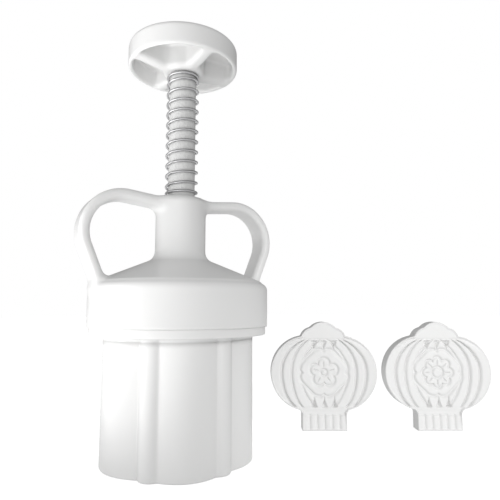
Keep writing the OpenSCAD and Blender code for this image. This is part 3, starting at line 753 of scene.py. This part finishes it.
def medal_field(x, y):
    """How far outside the medallion a point lies: a soft octagon, nipped in at its four tips."""
    across, up = np.abs(x), np.abs(y - SIDE_Y)
    octagon = both(both(across - MEDAL_HALF, up - MEDAL_UP, 1.0), (across + up - MEDAL_CUT) * 0.71, 1.6)
    return octagon + 0.9 * line(np.minimum(across, up), 1.8)


def blossom(x, y):
    """Five petals round a heart, drawn as lines."""
    radius, angle = np.hypot(x, y - SIDE_Y), np.arctan2(x, y - SIDE_Y)
    petals = 5.2 + 2.6 * np.abs(np.cos(2.5 * angle)) ** 0.7
    veins = line(np.sin(2.5 * angle) * radius, 1.1) * step_up(radius, 2.8, 3.4)
    veins = veins * step_up(-radius, -6.4, -5.4)
    return np.maximum(np.maximum(line(radius - petals, 1.5), 0.8 * veins), line(radius - 1.7, 1.2))


def rosette(x, y):
    """Eight petals round a ring, drawn as lines."""
    radius, angle = np.hypot(x, y - SIDE_Y), np.arctan2(x, y - SIDE_Y)
    petals = 6.5 + 1.9 * np.abs(np.cos(4 * angle)) ** 0.7
    veins = line(np.sin(4 * angle) * radius / 1.6, 1.0) * step_up(radius, 3.6, 4.2)
    veins = veins * step_up(-radius, -7.2, -6.4)
    return np.maximum(np.maximum(line(radius - petals, 1.4), 0.8 * veins), line(radius - 3.0, 1.3))


def pleats(x, y):
    """Tucks where the ribs meet the crown (pointing down) and the base ring (pointing up)."""
    depth = 0
    for tip, sign in ((RIB_TOP - 0.4, 1), (RIB_LOW - 0.6, -1)):
        drop = (tip - y) * sign
        half = 1.8 * np.clip(1 - drop / 4.4, 0, 1)
        for centre in (-5.4, 0, 5.4):
            depth = depth + step_up(half - np.abs(x - centre), -0.5, 0.7) * step_up(drop, -0.4, 0.8)
    return depth


def relief(x, y, outline, motif):
    """Depth of the carved face below its rim."""
    dish = DISH_DEPTH * (1 - np.clip(np.hypot(x, y) / RIBS[-1], 0, 1) ** 2)
    place = rib_place(x, y)
    rib = np.searchsorted(RIBS, place, side="right").clip(0, 3)
    low, high = np.concatenate([[0], RIBS])[rib], RIBS[rib]
    round_rib = 0.35 * (2 * np.clip((place - low) / (high - low), 0, 1) - 1) ** 4
    ribs = np.where(place < RIBS[1], 0.15, round_rib)
    ribs = ribs + RIB_DEPTH * (line(place - RIBS[1], LINE_W) + line(place - RIBS[2], LINE_W))
    medal = medal_field(x, y)
    behind = INNER_DEPTH * line(inner_rib(x, y), FINE_LINE_W) + PLEAT_DEPTH * pleats(x, y)
    ribs = ribs + step_up(medal, 0.3, 1.2) * behind
    ribs = ribs + MEDAL_DEPTH * line(medal, LINE_W) + MOTIF_DEPTH * motif(x, y) * step_up(-medal, 0.8, 1.6)

    in_ribs = step_up(RIB_TOP - y, -0.5, 0.4) * step_up(y - RIB_LOW, -0.5, 0.4)
    flute = np.abs((x * FOOT_FLUTES / (2 * FOOT_HALF)) % 1 - 0.5) * 2
    foot = step_up(-y - 20.6, -0.3, 0.6) * (0.2 + 0.9 * flute ** 3)
    crown = 0.15 + 0.3 * line(y - RIB_TOP - 0.4, 0.9)
    ring = 0.35 + 0.35 * step_up(-y - 16.8, 0.5, 2.4)
    bands = np.where(y > 0, crown, ring * step_up(y + 21.0, -0.6, 0.4) + foot)
    rim = step_up(-outline, 0.4, 1.2)
    return 0.1 + rim * (dish + ribs * in_ribs + bands * (1 - in_ribs))


# %% Stamp bodies
def stamp_field(spot, turn, motif):
    """Field of a stamp that stands on its foot at a spot, its face turned to the front."""
    c, s = np.cos(np.radians(turn)), np.sin(np.radians(turn))

    def field(x, y, z):
        dx, dy = x - spot[0], y - spot[1]
        across, back, up = dx * c + dy * s, dy * c - dx * s, z - FOOT_DROP
        outline = lantern(across, up, 0.6)
        plate = both(both(outline, relief(across, up, outline, motif) - back, 0.7), back - STAMP_T, 0.5)
        hollow = both(outline + SKIRT, PLATE_T - back, 0.6)
        plate = both(plate, -hollow, 0.4)
        peg = disc(np.abs(across), up, PEG_X, SIDE_Y, PEG_R)
        peg = both(peg, slab(back, PLATE_T - 1, STAMP_T + PEG_OUT), 0.5)
        return join(plate, peg, 0.6)

    return field


STAMP_TURN = -31
STAMPS = {"stamp_blossom": ((86.5, 2.5), blossom), "stamp_rosette": ((140, -29.5), rosette)}
for name, (spot, motif) in STAMPS.items():
    low, high = span(name)
    points, quads = skin(stamp_field(spot, STAMP_TURN, motif), low, high, 0.32)
    make_piece(name, points, quads, WHITE_MATT)

# %% [markdown]
# ## Pieces kept from the frame
# The piston plate, the screws and the cap are already right as the frame has them. They only need their
# finish.

# %% Kept pieces
for name, material in (("piston_plate", WHITE_INNER), ("piston_screw", SCREW_STEEL),
                       ("knob_screw", SCREW_STEEL), ("knob_cap", WHITE)):
    mesh = frame["nodes"][name].data
    mesh.materials.clear()
    mesh.materials.append(material)

# %% [markdown]
# ## Stage and light
# The photograph is a cut-out on white, lit softly from the left at the height of the press, so roofs and
# other faces that look up are darker than flanks. A white floor and a white world make the background.
# A large lamp on the left gives the plastic its shading, and a weak one fills the front. A lamp that lies
# on the table and shines up stands in for the table's glow, which makes the knob's underside bright. The
# world fills the rest, and mirrors see a darker world, which draws the steel's lines. The stamps were
# lit on their own in the photograph: here the press would shade them, so a narrow lamp reaches them from
# the right.

# %% Floor
def white_floor():
    """A floor that looks white to the camera, keeps a faint shadow and lights the object from below."""
    paint = Paint("floor_white")
    path = paint.tree.nodes.new("ShaderNodeLightPath")
    seen = Wire(paint, path.outputs["Is Camera Ray"]) + Wire(paint, path.outputs["Is Glossy Ray"])
    seen = seen + Wire(paint, path.outputs["Is Transmission Ray"])
    glow = paint.node("ShaderNodeEmission", inputs={"Color": (1, 1, 1, 1), "Strength": seen * 0.62})
    matt = paint.node("ShaderNodeBsdfDiffuse", inputs={"Color": (0.88, 0.88, 0.88, 1)})
    return paint.finish(paint.node("ShaderNodeAddShader", inputs={0: glow, 1: matt}))


FLOOR_HALF = 3.0
mesh = bpy.data.meshes.new("floor")
mesh.from_pydata([(-FLOOR_HALF, -FLOOR_HALF, -1e-4), (FLOOR_HALF, -FLOOR_HALF, -1e-4),
                  (FLOOR_HALF, FLOOR_HALF, -1e-4), (-FLOOR_HALF, FLOOR_HALF, -1e-4)], [], [(0, 1, 2, 3)])
mesh.materials.append(white_floor())
floor = bpy.data.objects.new("floor", mesh)
bpy.context.scene.collection.objects.link(floor)

# %% World
AMBIENT, MIRRORED = 0.50, 0.30
world = bpy.data.worlds.new("white_world")
world.use_nodes = True
bpy.context.scene.world = world
sky = world.node_tree
path = sky.nodes.new("ShaderNodeLightPath")
white = None
for output, strength in (("Is Glossy Ray", MIRRORED), ("Is Camera Ray", 1.0), ("Is Transmission Ray", 1.0)):
    mix = sky.nodes.new("ShaderNodeMix")
    sky.links.new(path.outputs[output], mix.inputs["Factor"])
    mix.inputs["A"].default_value = AMBIENT
    mix.inputs["B"].default_value = strength
    if white is not None:
        sky.links.new(white, mix.inputs["A"])
    white = mix.outputs["Result"]
sky.nodes["Background"].inputs["Color"].default_value = (1, 1, 1, 1)
sky.links.new(white, sky.nodes["Background"].inputs["Strength"])
print("world: light", AMBIENT, "in mirrors", MIRRORED)


# %% Lamps
AIM = np.array([0.03, 0.0, 0.09])
STAMPS_AIM = np.array([0.113, -0.013, 0.03])


def placed(light, aim, left, front, up, towards=None):
    """Put a lamp at a spot given from the camera's point of view, in metres from what it is aimed at."""
    holder = bpy.data.objects.new(light.name, light)
    spot = aim + left * to_left + front * to_front + np.array([0, 0, up])
    holder.location = spot
    ahead = Vector(aim - spot) if towards is None else Vector(towards)
    holder.rotation_euler = ahead.to_track_quat("-Z", "Y").to_euler()
    holder.visible_camera = False
    bpy.context.scene.collection.objects.link(holder)
    return holder


def soft_lamp(name, size, watts):
    light = bpy.data.lights.new(name, "AREA")
    light.shape = "SQUARE"
    light.size = size
    light.energy = watts
    return light


placed(soft_lamp("left_lamp", 0.5, 1.9), AIM, 0.85, 0.30, 0.06)
placed(soft_lamp("front_lamp", 0.8, 1.65), AIM, -0.05, 0.95, 0.2)
placed(soft_lamp("table_glow", 0.34, 0.95), AIM, 0.24, 0.16, 0.003 - AIM[2], (0, 0, 1))

stamp_light = bpy.data.lights.new("stamp_lamp", "SPOT")
stamp_light.energy = 5.0
stamp_light.spot_size = np.radians(24)
stamp_light.spot_blend = 0.6
stamp_light.shadow_soft_size = 0.04
placed(stamp_light, STAMPS_AIM, -0.30, 0.46, 0.18)
bpy.context.scene.view_settings.view_transform = "Standard"
print("lamps, W:", {light.name: round(light.energy, 2) for light in bpy.data.lights})
